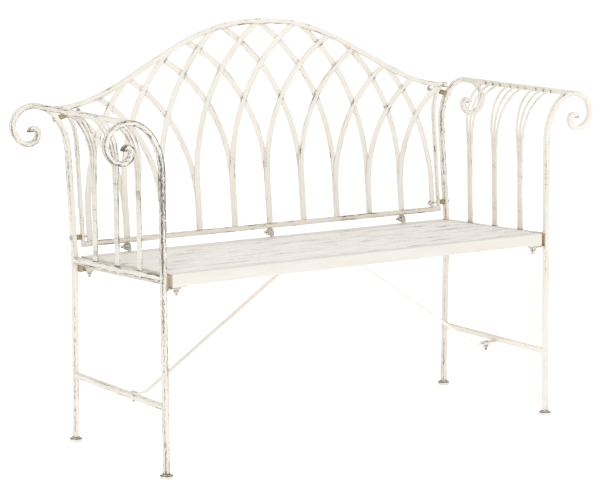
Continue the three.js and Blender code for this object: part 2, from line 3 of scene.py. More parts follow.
import bpy
import numpy as np
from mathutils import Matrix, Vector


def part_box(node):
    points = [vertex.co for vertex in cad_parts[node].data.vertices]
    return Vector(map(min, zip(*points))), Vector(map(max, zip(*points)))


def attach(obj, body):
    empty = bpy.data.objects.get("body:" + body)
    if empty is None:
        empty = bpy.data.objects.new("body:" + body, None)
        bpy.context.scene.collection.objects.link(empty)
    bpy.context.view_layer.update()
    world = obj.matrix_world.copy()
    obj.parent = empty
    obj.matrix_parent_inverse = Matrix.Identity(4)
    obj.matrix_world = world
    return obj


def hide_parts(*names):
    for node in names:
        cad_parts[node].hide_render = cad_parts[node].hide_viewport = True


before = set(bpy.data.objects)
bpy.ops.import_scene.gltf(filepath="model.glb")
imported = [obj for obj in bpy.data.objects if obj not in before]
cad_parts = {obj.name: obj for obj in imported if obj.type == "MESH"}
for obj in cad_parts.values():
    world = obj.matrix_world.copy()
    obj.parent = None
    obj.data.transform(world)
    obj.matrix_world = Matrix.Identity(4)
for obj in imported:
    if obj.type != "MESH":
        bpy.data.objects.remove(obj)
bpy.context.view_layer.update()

# %% [markdown]
# ## Where things are
# Sizes below are in millimetres, measured from the middle of the side frames, with X along the
# bench, Y to the back and Z up. The frame's own middle lies a little further back, because the
# leaning back reaches behind the rear feet, so the side rail's box tells how far to slide.
# %% Millimetres to the frame
rail_low, rail_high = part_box("left_side_rail")
SLIDE = np.array([0.0, (rail_low.y + rail_high.y) / 2, 0.0])


def placed(points):
    """A point p in millimetres goes to the frame at p / 1000 + SLIDE, in metres."""
    return np.asarray(points, float) / 1000 + SLIDE


print("slide:", SLIDE.round(5))

# %% [markdown]
# ## Sections
# A steel bar has corners that the rolling mill and the paint have rounded. The rounding is small,
# about a millimetre, but it catches the light along every edge, and it is where paint wears first.
# So a section carries, beside its points, how near each point is to a corner.
# %% The section of a bar and of a rod
def bar_section(wide, deep, soft=1.2, steps=3):
    """A rectangle with quarter-round corners. Corner k is soft * (cos a, sin a) round a centre
    set in by soft, with a from k * 90 to (k + 1) * 90 degrees, and three points divide each flat."""
    angle = np.linspace(0, np.pi / 2, steps + 1)
    flats = np.array([0.1, 0.5, 0.9])
    turns = np.arange(4) * np.pi / 2
    centre = np.array([[1, 1], [-1, 1], [-1, -1], [1, -1]]) * (wide / 2 - soft, deep / 2 - soft)
    round_a = turns[:, None] + angle[None, :]
    arcs = centre[:, None, :] + soft * np.stack([np.cos(round_a), np.sin(round_a)], 2)
    start, end = arcs[:, -1], np.roll(arcs, -1, axis=0)[:, 0]
    straight = start[:, None, :] + flats[None, :, None] * (end - start)[:, None, :]
    points = np.concatenate([arcs, straight], 1).reshape(-1, 2)
    corner = np.tile(np.concatenate([np.ones(steps + 1), 2 * np.abs(flats - 0.5)]), 4)
    return points, corner


def rod_section(radius, sides=14):
    """A circle, radius * (cos a, sin a). It has no corners, but its corner value is 0.3 + 0.7 |sin a|^3,
    which paints shade on the two sides that face the rods beside it, where the dark ground shows most."""
    a = np.arange(sides) / sides * 2 * np.pi
    return radius * np.stack([np.cos(a), np.sin(a)], 1), 0.3 + 0.7 * np.abs(np.sin(a)) ** 3


print("a bar's section has", len(bar_section(10, 10)[0]), "points")

# %% [markdown]
# ## A surface from rings of points
# Rings of points that follow each other make a tube, and filling the two end rings closes it.
# Three things are kept with it for the paint: a flat map in metres, round the section and along
# the piece, a value for how much this part is worn, and one for how warm its paint looks; on parts
# that sit in shade this warm value is raised, which paints the shade in as tan and brown.
# %% Rings to a closed skin
def skin(rings, corner, wear=0.3, warm=0.3):
    """Corner (i, j) of the grid joins ring i to i + 1 and point j to j + 1. The skin is turned
    inside out if its volume, the sum of a . (b x c) / 6 over its triangles, comes out negative."""
    count, sides = rings.shape[:2]
    row, column = (g.ravel() for g in np.meshgrid(np.arange(count - 1), np.arange(sides), indexing="ij"))
    beside = (column + 1) % sides
    quads = np.stack([row * sides + column, row * sides + beside,
                      (row + 1) * sides + beside, (row + 1) * sides + column], 1)
    caps = np.stack([np.arange(sides)[::-1], (count - 1) * sides + np.arange(sides)])
    loop = np.concatenate([rings, rings[:, :1]], 1)
    widest = np.linalg.norm(np.diff(loop, axis=1), axis=2).max(0)
    u = np.concatenate([[0], np.cumsum(widest)]) / 1000
    v = np.concatenate([[0], np.cumsum(np.linalg.norm(np.diff(rings.mean(1), axis=0), axis=1))]) / 1000
    flat = np.stack([np.stack([u[column], v[row]], 1), np.stack([u[column + 1], v[row]], 1),
                     np.stack([u[column + 1], v[row + 1]], 1), np.stack([u[column], v[row + 1]], 1)], 1)
    cap_flat = np.stack([np.stack([u[:-1][::-1], np.full(sides, v[0])], 1),
                         np.stack([u[:-1], np.full(sides, v[-1])], 1)])
    points = rings.reshape(-1, 3)
    fan = np.concatenate([quads[:, [0, 1, 2]], quads[:, [0, 2, 3]]]
                         + [np.stack([np.full(sides - 2, c[0]), c[1:-1], c[2:]], 1) for c in caps])
    a, b, c = (points[fan[:, k]] - points[0] for k in range(3))
    if np.einsum("ij,ij->i", a, np.cross(b, c)).sum() < 0:
        quads, flat, caps, cap_flat = quads[:, ::-1], flat[:, ::-1], caps[:, ::-1], cap_flat[:, ::-1]

    def spread(value):
        """One value, or one for each ring, becomes one for each point."""
        return np.broadcast_to(np.reshape(value, (-1, 1)) * np.ones(sides), (count, sides)).ravel()

    return {"points": points, "quads": quads, "flat": flat, "caps": caps, "cap_flat": cap_flat,
            "corner": np.broadcast_to(corner, (count, sides)).ravel(),
            "wear": spread(wear), "warm": spread(warm)}


# %% A section carried along a line
def carry(line, section, across=(0, 1, 0), soft=0.8, wear=0.3, warm=0.3):
    """With t the line's direction, a the across direction made square to it and n = t x a, point
    j of ring i is line_i + s_j * n_i + d_j * a_i. A quarter round of radius soft eases both ends."""
    line = np.asarray(line, float)
    points, corner = section
    step = np.diff(line, axis=0)
    t = np.concatenate([step[:1], step[1:] / np.linalg.norm(step[1:], axis=1, keepdims=True)
                        + step[:-1] / np.linalg.norm(step[:-1], axis=1, keepdims=True), step[-1:]])
    t /= np.linalg.norm(t, axis=1, keepdims=True)
    ease = np.radians([0, 30, 60])
    ends = len(ease) + 1
    out, back = soft * (1 - np.sin(ease)), soft * (1 - np.cos(ease))
    head = line[:1] + t[:1] * back[:, None]
    tail = line[-1:] - t[-1:] * back[::-1, None]
    inner = slice(1, -1)
    first = line[:1] + t[:1] * soft
    last = line[-1:] - t[-1:] * soft
    line = np.concatenate([head, first, line[inner], last, tail])
    t = np.concatenate([np.repeat(t[:1], ends, 0), t[inner], np.repeat(t[-1:], ends, 0)])
    rest = len(line) - 2 * len(ease)
    inset = np.concatenate([out, np.zeros(rest), out[::-1]])
    a = np.asarray(across, float) - (t @ np.asarray(across, float))[:, None] * t
    a /= np.linalg.norm(a, axis=1, keepdims=True)
    n = np.cross(t, a)
    reach = np.abs(points).max(0)
    size = 1 - inset[:, None] / reach
    s = size[:, :1] * points[:, 0]
    d = size[:, 1:] * points[:, 1]
    rings = line[:, None, :] + s[:, :, None] * n[:, None, :] + d[:, :, None] * a[:, None, :]

    def grow(value):
        """A value given along the line is repeated for the rings added at its ends."""
        if not np.ndim(value):
            return value
        return np.concatenate([np.repeat(value[:1], ends), value[inner], np.repeat(value[-1:], ends)])

    return skin(rings, corner, grow(wear), grow(warm))


def plate(low, high, soft=0.7, **paint):
    """A flat plate between two corners, as a bar carried along the plate's longest side."""
    low, high = np.array(low, float), np.array(high, float)
    size = high - low
    run = int(size.argmax())
    wide, deep = (run + 1) % 3, (run + 2) % 3
    start, end = (low + high) / 2, (low + high) / 2
    start[run], end[run] = low[run], high[run]
    line = start + np.linspace(0, 1, 9)[:, None] * (end - start)
    return carry(line, bar_section(size[wide], size[deep], soft, 2), np.eye(3)[deep], soft, **paint)


# %% A profile turned round an axis
def turned(profile, origin, axis=(0, 0, 1), sides=24, **paint):
    """Point (r, h) of the profile becomes the ring origin + h * axis + r * (cos a * p + sin a * q),
    where p and q are square to the axis. Six sides make a nut."""
    profile = np.asarray(profile, float)
    axis = np.asarray(axis, float) / np.linalg.norm(axis)
    p = np.cross(axis, (0, 1, 0) if abs(axis[1]) < 0.9 else (1, 0, 0))
    p /= np.linalg.norm(p)
    q = np.cross(axis, p)
    a = np.arange(sides) / sides * 2 * np.pi
    spoke = np.cos(a)[:, None] * p + np.sin(a)[:, None] * q
    rings = np.asarray(origin, float) + profile[:, 1, None, None] * axis + profile[:, 0, None, None] * spoke
    return skin(rings, np.full(sides, 0.6), **paint)


def bead(centre, radii, axis=(0, 0, 1), wear=0.5, warm=0.45):
    """A run of weld: an ellipsoid, radii[0] * cos a across and radii[1] * sin a along its axis."""
    a = np.linspace(-1.35, 1.35, 6)
    return turned(np.stack([radii[0] * np.cos(a), radii[1] * np.sin(a)], 1), centre, axis, 10,
                  wear=wear, warm=warm)


# %% [markdown]
# ## From skins to a piece
# A piece is one mesh made of one or more closed skins, with its place in its points, so the
# object itself stays at the origin. It rides on the bench's one body, takes its finish and hides
# the plain solid it stands for.
# %% Build a piece
PIECES = []


def build(name, skins, material, node=None, shift=0.0):
    """Joins the skins into one mesh. shift slides the flat map along, so pieces of one shape
    don't wear in the same spots."""
    offsets = np.cumsum([0] + [len(s["points"]) for s in skins])
    faces, flat = [], []
    for s, offset in zip(skins, offsets):
        faces += (s["quads"] + offset).tolist() + (s["caps"] + offset).tolist()
        flat += [s["flat"].reshape(-1, 2), s["cap_flat"].reshape(-1, 2)]
    mesh = bpy.data.meshes.new(name)
    mesh.from_pydata(placed(np.concatenate([s["points"] for s in skins])).tolist(), [], faces)
    layer = mesh.uv_layers.new(name="along")
    layer.data.foreach_set("uv", (np.concatenate(flat) + (0.37 * shift, shift)).astype(np.float32).ravel())
    for key in ("corner", "wear", "warm"):
        values = mesh.attributes.new(key, "FLOAT", "POINT")
        values.data.foreach_set("value", np.concatenate([s[key] for s in skins]).astype(np.float32))
    mesh.materials.append(material)
    mesh.shade_smooth()
    mesh.set_sharp_from_angle(angle=math.radians(40))
    piece = bpy.data.objects.new(name, mesh)
    bpy.context.scene.collection.objects.link(piece)
    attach(piece, "root")
    if node:
        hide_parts(node)
    PIECES.append(piece)
    return piece


# %% [markdown]
# ## Paint
# The finish is an antique one: a warm cream coat rubbed back along the edges until a dark brown
# ground shows in short broken streaks. Streaks follow the bar, so the pattern reads the piece's
# own flat map, stretched along its length. Four coats share one recipe: the plain one, a lighter
# one with long fine brush marks for slats and braces, a crisper one for the posts and a greyer
# one for the seat frame. One small class lets shader sums be written as sums.
# %% Sums of sockets
class Value:
    """One output socket, so that a sum or product of sockets reads as one and adds its nodes."""

    def __init__(self, finish, socket):
        self.finish = finish
        self.socket = socket

    def math(self, operation, *others):
        return self.finish.node("ShaderNodeMath", {"operation": operation},
                                dict(enumerate((self,) + others)))

    def __add__(self, other):
        return self.math("ADD", other)

    def __mul__(self, other):
        return self.math("MULTIPLY", other)

    def __sub__(self, other):
        return self.math("SUBTRACT", other)

    def __rsub__(self, other):
        return (self * -1) + other

    __radd__ = __add__
    __rmul__ = __mul__

    def step(self, low, high):
        """0 below low, 1 above high and a smooth S between them."""
        return self.finish.node("ShaderNodeMapRange", {"interpolation_type": "SMOOTHSTEP"},
                                {"Value": self, "From Min": low, "From Max": high})


class Finish:
    """A material, with one method that adds any node to it."""

    def __init__(self, name):
        self.material = bpy.data.materials.new(name)
        self.material.use_nodes = True
        self.tree = self.material.node_tree
        self.tree.nodes.clear()

    def node(self, kind, settings=None, sockets=None, out=0):
        made = self.tree.nodes.new(kind)
        for key, value in (settings or {}).items():
            setattr(made, key, value)
        for key, value in (sockets or {}).items():
            if isinstance(value, Value):
                self.tree.links.new(value.socket, made.inputs[key])
            else:
                made.inputs[key].default_value = value
        return Value(self, made.outputs[out])

    def own(self, name):
        return self.node("ShaderNodeAttribute", {"attribute_name": name}, out="Fac")

    def noise(self, place, detail=3.0, roughness=0.6):
        return self.node("ShaderNodeTexNoise", {"noise_dimensions": "3D"},
                         {"Vector": place, "Scale": 1.0, "Detail": detail, "Roughness": roughness})

    def blend(self, share, first, second):
        return self.node("ShaderNodeMix", {"data_type": "RGBA"}, {0: share, 6: first, 7: second}, out=2)

    def stretched(self, place, factors):
        return self.node("ShaderNodeVectorMath", {"operation": "MULTIPLY"}, {0: place, 1: factors})

    def close(self, colour, roughness, normal, metallic=0.0, specular=0.4):
        surface = self.node("ShaderNodeBsdfPrincipled", {},
                            {"Base Color": colour, "Roughness": roughness, "Normal": normal,
                             "Metallic": metallic, "Specular IOR Level": specular})
        return self.shown(surface)

    def shown(self, surface):
        end = self.tree.nodes.new("ShaderNodeOutputMaterial")
        self.tree.links.new(surface.socket, end.inputs["Surface"])
        return self.material


# %% Cream paint rubbed back to a dark ground
CREAM = (0.835, 0.805, 0.752, 1)
PALE_CREAM = (0.90, 0.86, 0.825, 1)
GREY_CREAM = (0.775, 0.755, 0.718, 1)
TAN = (0.72, 0.66, 0.555, 1)
# Painted shade: the brown that a warm value near 2.2 gives to parts sitting in shade between others.
SHADE_BROWN = (0.50, 0.37, 0.20, 1)
GROUND = (0.075, 0.061, 0.050, 1)
DUST = (0.40, 0.36, 0.32, 1)


def rubbed_paint(name, cream=CREAM, threshold=1.13, brushing=0.34, streak=(430.0, 34.0, 1.0)):
    """level is a sum of three noises with the corner and wear values. Past the threshold the coat
    first turns dusty, by the share brushing, and then the ground shows. streak is how many times
    a metre the long noise repeats across and along the piece."""
    finish = Finish(name)
    flat = finish.node("ShaderNodeUVMap", {"uv_map": "along"})
    corner, wear, warm = (finish.own(key) for key in ("corner", "wear", "warm"))
    long_streaks = finish.noise(finish.stretched(flat, streak), 4.0, 0.65)
    short_flakes = finish.noise(finish.stretched(flat, (1100.0, 240.0, 1.0)), 2.0)
    patches = finish.noise(finish.stretched(flat, (60.0, 7.0, 1.0)), 2.0)
    level = long_streaks * 0.9 + short_flakes * 0.5 + patches * 0.45 + corner * 0.16 + wear * 0.42
    bare = level.step(threshold + 0.19, threshold + 0.235)
    thin = level.step(threshold + 0.02, threshold + 0.26)
    # The warm value pulls the coat toward TAN, and past 1.2 toward the brown; on parts given a high warm
    # value this is painted shade.
    tint = (patches * 0.9 + warm * 1.1).step(0.35, 1.45)
    coat = finish.blend((warm + patches * 0.5).step(1.2, 2.2), finish.blend(tint, cream, TAN), SHADE_BROWN)
    rubbed = finish.blend(thin * brushing, coat, DUST)
    colour = finish.blend(bare * 0.92, rubbed, GROUND)
    height = short_flakes * 0.25 - bare
    normal = finish.node("ShaderNodeBump", {}, {"Height": height, "Strength": 0.35, "Distance": 0.0004})
    return finish.close(colour, bare * 0.28 + short_flakes * 0.12 + 0.40, normal)


cream_paint = rubbed_paint("rubbed_cream_paint")
seat_paint = rubbed_paint("seat_paint", PALE_CREAM, 1.10, 0.34, (620.0, 12.0, 1.0))
post_paint = rubbed_paint("post_paint", CREAM, 1.14, 0.20, (760.0, 70.0, 1.0))
frame_paint = rubbed_paint("frame_paint", GREY_CREAM, 1.16, 0.30)
PAINTS = (cream_paint, seat_paint, post_paint, frame_paint)
print("paints:", [paint.name for paint in PAINTS], len(cream_paint.node_tree.nodes), "nodes each")

# %% [markdown]
# The bolts and nuts have the same cream over rough steel, and it has chipped off in blotches that
# show the brown below. The spacers of the back and the lugs under the seat's corners sit in shade
# between the parts, and a warm value of 2.2 paints that shade in as a golden brown. A nut has no
# long way, so this pattern reads the place on the object.
# %% Worn fasteners
DARK_RUST = (0.13, 0.095, 0.07, 1)
LIGHT_RUST = (0.27, 0.19, 0.13, 1)
# Painted shade: the warm value for parts in shade between others, which turns them golden brown.
SHADE_GOLDEN = 2.2


def worn_steel(name):
    """left is where the coat holds: 1 where the sum of two noises is above its step."""
    finish = Finish(name)
    where = finish.node("ShaderNodeTexCoord", {}, out="Object")
    blotch = finish.noise(finish.stretched(where, (260.0, 260.0, 260.0)), 3.0)
    grain = finish.noise(finish.stretched(where, (1500.0, 1500.0, 1500.0)), 2.0)
    left = (blotch + grain * 0.3).step(0.56, 0.66)
    rust = finish.blend(grain.step(0.35, 0.7), DARK_RUST, LIGHT_RUST)
    # A spacer's high warm value paints its shade between stile and post as brown.
    coat = finish.blend((finish.own("warm") + blotch * 0.5).step(1.2, 2.2), CREAM, SHADE_BROWN)
    colour = finish.blend(left * 0.85, rust, coat)
    normal = finish.node("ShaderNodeBump", {}, {"Height": grain + left, "Strength": 0.3, "Distance": 0.0003})
    return finish.close(colour, grain * 0.2 + 0.42, normal, 0.25)


fastener = worn_steel("worn_fastener_steel")

# %% [markdown]
# ## The lines of the side frames
# Each side is two posts of square bar. They rise from the feet, lean a little, and at the top
# bend outwards into an arm that curls under into a scroll. The curl is a chain of quarter
# ellipses, each starting where the last one ends and heading the same way.
# %% Posts and scrolls
POST_X = 521.0
FRONT_Y, REAR_Y = -185.0, 185.0
POST_BAR = 11.5
FOOT_TALL = 9.0
PLATE = 3
LUG_FACE, LUG_REACH, LUG_HALF, LUG_UPRIGHT = 6.3, 36, 10, 29
LUG_DROP = 29.9
LUG_Y = {"front": FRONT_Y + 5, "rear": REAR_Y - 5}
SEAT_EDGE = np.array([0.0, -192.0, 430.0])
SEAT_TILT = math.radians(2.3)
FRONT_LEAN, BACK_LEAN = math.radians(1.5), math.radians(6.6)
ARCS = [((78, 109), np.pi, 30), ((54, 44), np.pi / 2, 24), ((38, 38), 0, 20),
        ((23, 22), -np.pi / 2, 16), ((11, 11), -np.pi, 12), ((8, 8), np.pi / 2, 12)]
ARM_Z = 749.5
SCROLL_Z = ARM_Z - ARCS[0][0][1]


def seat_z(y):
    """The seat's top falls from its front edge to the back at the tilt's slope."""
    return SEAT_EDGE[2] - (y - SEAT_EDGE[1]) * math.tan(SEAT_TILT)


BEND_Z = seat_z(REAR_Y)
BEND_HALF = 10


def front_y(z):
    """The front post leans back by the same slope all the way."""
    return FRONT_Y + (z - seat_z(FRONT_Y)) * math.tan(FRONT_LEAN)


def rear_y(z):
    """The rear post is upright to the bend and leans above it; a parabola joins the two."""
    part = np.clip(z - BEND_Z + BEND_HALF, 0, 2 * BEND_HALF)
    straight_on = np.maximum(0, z - BEND_Z - BEND_HALF)
    return REAR_Y + math.tan(BACK_LEAN) * (part**2 / (4 * BEND_HALF) + straight_on)


def quarter(start, across, up, first, count):
    """A quarter ellipse turning clockwise from angle first: start - (across cos first,
    up sin first) is its centre, and the angle falls by 90 degrees."""
    a = first - np.linspace(0, np.pi / 2, count + 1)[1:]
    centre = np.asarray(start) - (across * math.cos(first), up * math.sin(first))
    return centre + np.stack([across * np.cos(a), up * np.sin(a)], 1)


def arm_line(arcs):
    """The line [outwards, up] of the arm, one quarter after another."""
    line = np.array([[0.0, SCROLL_Z]])
    for (across, up), first, count in arcs:
        line = np.concatenate([line, quarter(line[-1], across, up, first, count)])
    return line


SIDES = (("left", -1), ("right", 1))


def mirrored(skins, sign):
    """The same skins for the other end of the bench, x to -x, with their faces turned back."""
    if sign > 0:
        return skins
    done = []
    for s in skins:
        turned_back = dict(s, points=s["points"] * (-1, 1, 1))
        for key in ("quads", "flat", "caps", "cap_flat"):
            turned_back[key] = s[key][:, ::-1]
        done.append(turned_back)
    return done


def corner_lug(y, toward):
    """An angle under the seat's corner: an upright, a foot that bears the seat, and a weld."""
    face = POST_X - LUG_FACE
    top = seat_z(y) - LUG_DROP
    near, far = y - LUG_HALF, y + LUG_HALF
    edge = y + toward * LUG_HALF
    # The upright sits in shade between the post and the seat, and its warm value paints that shade in as
    # golden brown.
    return [plate((face - PLATE, near, top - PLATE), (face, far, top + LUG_UPRIGHT), wear=0.45, warm=SHADE_GOLDEN),
            plate((face - LUG_REACH, near, top - PLATE), (face - 0.5, far, top), wear=0.5, warm=0.5),
            bead((face + 0.8, edge - toward * 2.5, top + 13), (2.6, 16))]


BARE_END = 1.7


def post_skins(which, wear):
    """A square bar up the post's line and round its arm. Its wear rises in a bell near the tip,
    wear + 0.3 exp(-((along - 1) / 0.05)^2), and in another round a height of 600, of 0.4 wear.
    The cut end at the tip is bare."""
    post_y = front_y if which == "front" else rear_y
    z = np.concatenate([np.linspace(FOOT_TALL - 0.5, BEND_Z - 12, 12),
                        np.linspace(BEND_Z - BEND_HALF, BEND_Z + BEND_HALF, 7),
                        np.linspace(BEND_Z + 14, SCROLL_Z, 9)[:-1]])
    upright = np.stack([np.full(len(z), POST_X), post_y(z), z], 1)
    arm = arm_line(ARCS)
    bent = np.stack([POST_X + arm[:, 0], post_y(arm[:, 1]), arm[:, 1]], 1)
    line = np.concatenate([upright, bent])
    along = np.linspace(0, 1, len(line))
    worn = (wear + 0.3 * np.exp(-(((along - 1) / 0.05) ** 2))
            + 0.4 * wear * np.exp(-(((line[:, 2] - 600) / 130) ** 2)))
    worn[-2:] = BARE_END
    bar = carry(line, bar_section(POST_BAR, POST_BAR, 1.2), soft=2.2, wear=worn, warm=0.3)
    return [bar] + corner_lug(LUG_Y[which], -1 if which == "front" else 1)


# How much each post is worn: the left front one most.
POST_WEAR = {"left_front": 0.58, "left_rear": 0.42, "right_front": 0.30, "right_rear": 0.42}
for number, (key, wear) in enumerate(POST_WEAR.items()):
    word, which = key.split("_")
    skins = mirrored(post_skins(which, wear), -1 if word == "left" else 1)
    build(f"{key}_post_painted", skins, post_paint, f"{key}_post", 1.3 * number)
print("posts:", [p.name for p in PIECES])

# %% [markdown]
# The feet are small turned glides under the posts, and the rails between the posts are square
# bars welded at both ends, so here they run on into the posts and a bead of weld hides the end.
# %% Feet, rails and stretchers
def foot_skin(y):
    """A turned glide: a thick disc with a rounded rim and a low collar that the post stands in.
    The groove between disc and collar has lost its paint."""
    profile = np.array([(12.8, 0), (13.9, 0.3), (14.4, 1.0), (14.5, 1.8), (14.5, 5.0), (14.3, 5.8),
                        (13.6, 6.4), (12.4, 6.5), (11.6, 6.5), (11.4, 7.0), (11.2, 8.2), (10.4, 8.8),
                        (8.0, FOOT_TALL)])
    worn = np.array([0.5, 0.5, 0.4, 0.3, 0.3, 0.5, 1.0, 1.3, 1.3, 1.2, 0.6, 0.5, 1.2])
    return turned(profile, (POST_X, y, 0), sides=36, wear=worn, warm=0.35)


ARM_X = POST_X + ARCS[0][0][0]
ARM_BAR = 11.5
STRETCHER_BAR = 12
STRETCHER_Z = 150.0
INTO_POST = 4
SIDE_RAIL = (12.0, 13.0)
BRACE_X = 490.0
BRACE_AHEAD = 9
BRACE_Y = (front_y(STRETCHER_Z) + REAR_Y) / 2 - BRACE_AHEAD
TAB_TOP = STRETCHER_Z - 5
TAB_HALF = 10


def side_rail_z(y):
    """The rail's middle line, its top 1 below the seat's."""
    return seat_z(y) - 1 - SIDE_RAIL[1] / 2


def straight(start, end):
    """Sixteen points evenly from start to end."""
    return np.linspace(start, end, 16)


def arm_rail_skins(wear):
    """A level square bar between the crowns of the two arms."""
    ends = [(ARM_X, front_y(ARM_Z) + INTO_POST, ARM_Z), (ARM_X, rear_y(ARM_Z) - INTO_POST, ARM_Z)]
    return [carry(straight(*ends), bar_section(ARM_BAR, ARM_BAR, 1.3), (1, 0, 0), wear=wear)]


def side_rail_skins(wear):
    """A bar along the seat's slope, most worn near the front post, with a weld at each end."""
    y = np.linspace(FRONT_Y + INTO_POST, REAR_Y - INTO_POST, 20)
    line = np.stack([np.full(len(y), POST_X), y, side_rail_z(y)], 1)
    worn = wear + 0.35 * np.exp(-(((y - FRONT_Y) / 70) ** 2))
    beads = [bead((POST_X, end, side_rail_z(end) + 6.5), (2.4, 5), (1, 0, 0)) for end in (-178, 178)]
    return [carry(line, bar_section(*SIDE_RAIL, 1.3), (0, 0, 1), wear=worn)] + beads


def stretcher_skins(wear):
    """A level bar between the posts, with the tab for the brace's bolt on its inner side."""
    ends = [(POST_X, front_y(STRETCHER_Z) + INTO_POST, STRETCHER_Z),
            (POST_X, REAR_Y - INTO_POST, STRETCHER_Z)]
    bar = carry(straight(*ends), bar_section(STRETCHER_BAR, STRETCHER_BAR, 1.3), (1, 0, 0), wear=wear)
    tab = plate((BRACE_X - TAB_HALF, BRACE_Y - TAB_HALF, TAB_TOP - PLATE),
                (POST_X - 5, BRACE_Y + TAB_HALF, TAB_TOP))
    return [bar, tab]


for place, (word, sign) in enumerate(SIDES):
    worn = 0.5 if word == "left" else 0.32
    for which, post_y in (("front", front_y), ("rear", rear_y)):
        build(f"{word}_{which}_foot_painted", mirrored([foot_skin(float(post_y(0.0)))], sign), cream_paint,
              f"{word}_{which}_foot", 0.7 * place)
    for part, skins in (("arm_rail", arm_rail_skins(worn - 0.1)), ("side_rail", side_rail_skins(worn)),
                        ("stretcher", stretcher_skins(worn - 0.12))):
        build(f"{word}_{part}_painted", mirrored(skins, sign), cream_paint,
              f"{word}_{part}", 2.1 * place + len(part) * 0.31)
print("pieces so far:", len(PIECES))

# %% [markdown]
# ## Spindles
# Between the posts of each side stand three groups of three round rods. The rods of a group are
# welded side by side at the seat and fan out as they bend over to the arm rail.
# %% Spindle groups
ROD, ROD_PITCH, ROD_FAN, FAN_START = 3.0, 5.4, 27.0, 130.0


def rod_line(base_y, offset):
    """The rod keeps the post's outline. Beside its neighbours it stands off by offset * (pitch +
    (fan - pitch) * part ** 2), where part runs from 0 at the parting to 1 at the arm rail."""
    foot = side_rail_z(base_y) + SIDE_RAIL[1] / 2 - 0.5
    arm = arm_line(ARCS[:1])[1:]
    arm = arm[arm[:, 0] < ARCS[0][0][0] - 2]
    z = np.concatenate([np.linspace(foot, SCROLL_Z, 16), arm[:, 1]])
    out = np.concatenate([np.zeros(16), arm[:, 0]])
    part = np.clip((z - foot - FAN_START) / (ARM_Z - foot - FAN_START), 0, 1)
    spread = ROD_PITCH + (ROD_FAN - ROD_PITCH) * part**2
    y = base_y + (z - foot) * math.tan(SEAT_TILT) + offset * spread
    return np.stack([POST_X + out, y, z], 1)


def spindle_skins(base_y, wear):
    """Three rods side by side, each with a weld at the arm rail and one at its foot."""
    skins = []
    for offset in (-1, 0, 1):
        line = rod_line(base_y, offset)
        skins.append(carry(line, rod_section(ROD), soft=0.5, wear=wear, warm=0.38))
        skins.append(bead(line[-1] - (2.6, 0, 0.6), (3.9, 2.6), (1, 0, 0.3), wear=0.75))
        skins.append(bead(line[0] + (0, 0, 0.8), (4.0, 2.4), wear=0.95))
    return skins


for place, (word, sign) in enumerate(SIDES):
    for number, (part, base_y) in enumerate((("front", FRONT_Y / 2), ("middle", 0.0), ("rear", REAR_Y / 2))):
        worn = 0.5 if word == "left" else 0.34
        build(f"{word}_spindles_{part}_painted", mirrored(spindle_skins(base_y, worn), sign), cream_paint,
              f"{word}_spindles_{part}", 0.9 * number + 2.3 * place)
print("pieces so far:", len(PIECES))

# %% [markdown]
# ## The back panel
# The back is one flat panel, leaned with the rear posts: a top rail in an ogee, a straight bottom
# rail, two stiles that flare at the top, and a lattice of flat strips in two layers that cross.
# It is worked out upright in its own plane and then leaned.
# %% The panel's lines
PANEL_Z = seat_z(REAR_Y) + 26
PANEL = np.array([0.0, REAR_Y + (PANEL_Z - BEND_Z) * math.tan(BACK_LEAN), PANEL_Z])
STILE_X = 498.0
STILE_STRAIGHT = 221
STILE_FLARE = (44, 83)
NODE = 96.2
TIP_X, TIP_HEIGHT, OGEE_RISE, OGEE_POWER = 545, 301, 173, 1.15
SHOULDER_X = 272.0


def leaned(skins, origin, angle):
    """Turns about X by -angle, so y cos + z sin and z cos - y sin, then moves to the origin."""
    c, s = math.cos(angle), math.sin(angle)
    turn = np.array([[1, 0, 0], [0, c, -s], [0, s, c]])
    return [dict(k, points=k["points"] @ turn + origin) for k in skins]


def ogee(x):
    """The top rail's height: tip height + rise / 2 * (1 + cos(pi * (|x| / tip x) ** power))."""
    part = np.minimum(np.abs(x) / TIP_X, 1) ** OGEE_POWER
    return TIP_HEIGHT + OGEE_RISE / 2 * (1 + np.cos(np.pi * part))


def stile_line():
    """Straight at first, then part of an ellipse that turns outwards:
    across * (1 - cos a) and straight + rise * sin a."""
    across, rise = STILE_FLARE
    a = np.radians(np.linspace(0, 80, 18))
    flare = np.stack([STILE_X + across * (1 - np.cos(a)), STILE_STRAIGHT + rise * np.sin(a)], 1)
    line = np.concatenate([np.stack([np.full(12, STILE_X), np.linspace(-6, 210, 12)], 1), flare])
    return np.stack([line[:, 0], np.zeros(len(line)), line[:, 1]], 1)


def landing(bay):
    """Where the strip from foot number bay meets the top rail. Landings are 121 apart on the
    strip's own side of the middle, 100 past it, and 84 beyond the shoulder."""
    steps = bay + 2
    if steps < 0:
        return steps * 121.0
    return steps * 100.0 if steps < 3 else SHOULDER_X + 84.0 * (steps - 3)


def strip_line(bay, layer):
    """Straight up to the spring, then the circle of radius (reach^2 + climb^2) / (2 reach) that
    leaves upright and passes through the landing. The rear layer mirrors the front one."""
    foot, reach = bay * NODE, landing(bay) - bay * NODE
    spring = 60.0 if abs(landing(bay)) > SHOULDER_X else 110.0
    climb = ogee(landing(bay)) - spring
    radius = (reach**2 + climb**2) / (2 * reach)
    a = np.linspace(0, math.atan2(climb, radius - reach), 34)
    x = np.concatenate([np.full(8, foot), foot + radius * (1 - np.cos(a))])
    z = np.concatenate([np.linspace(2, spring * 0.95, 8), spring + radius * np.sin(a)])
    return np.stack([-layer * x, np.full(len(x), layer * 1.6), z], 1)


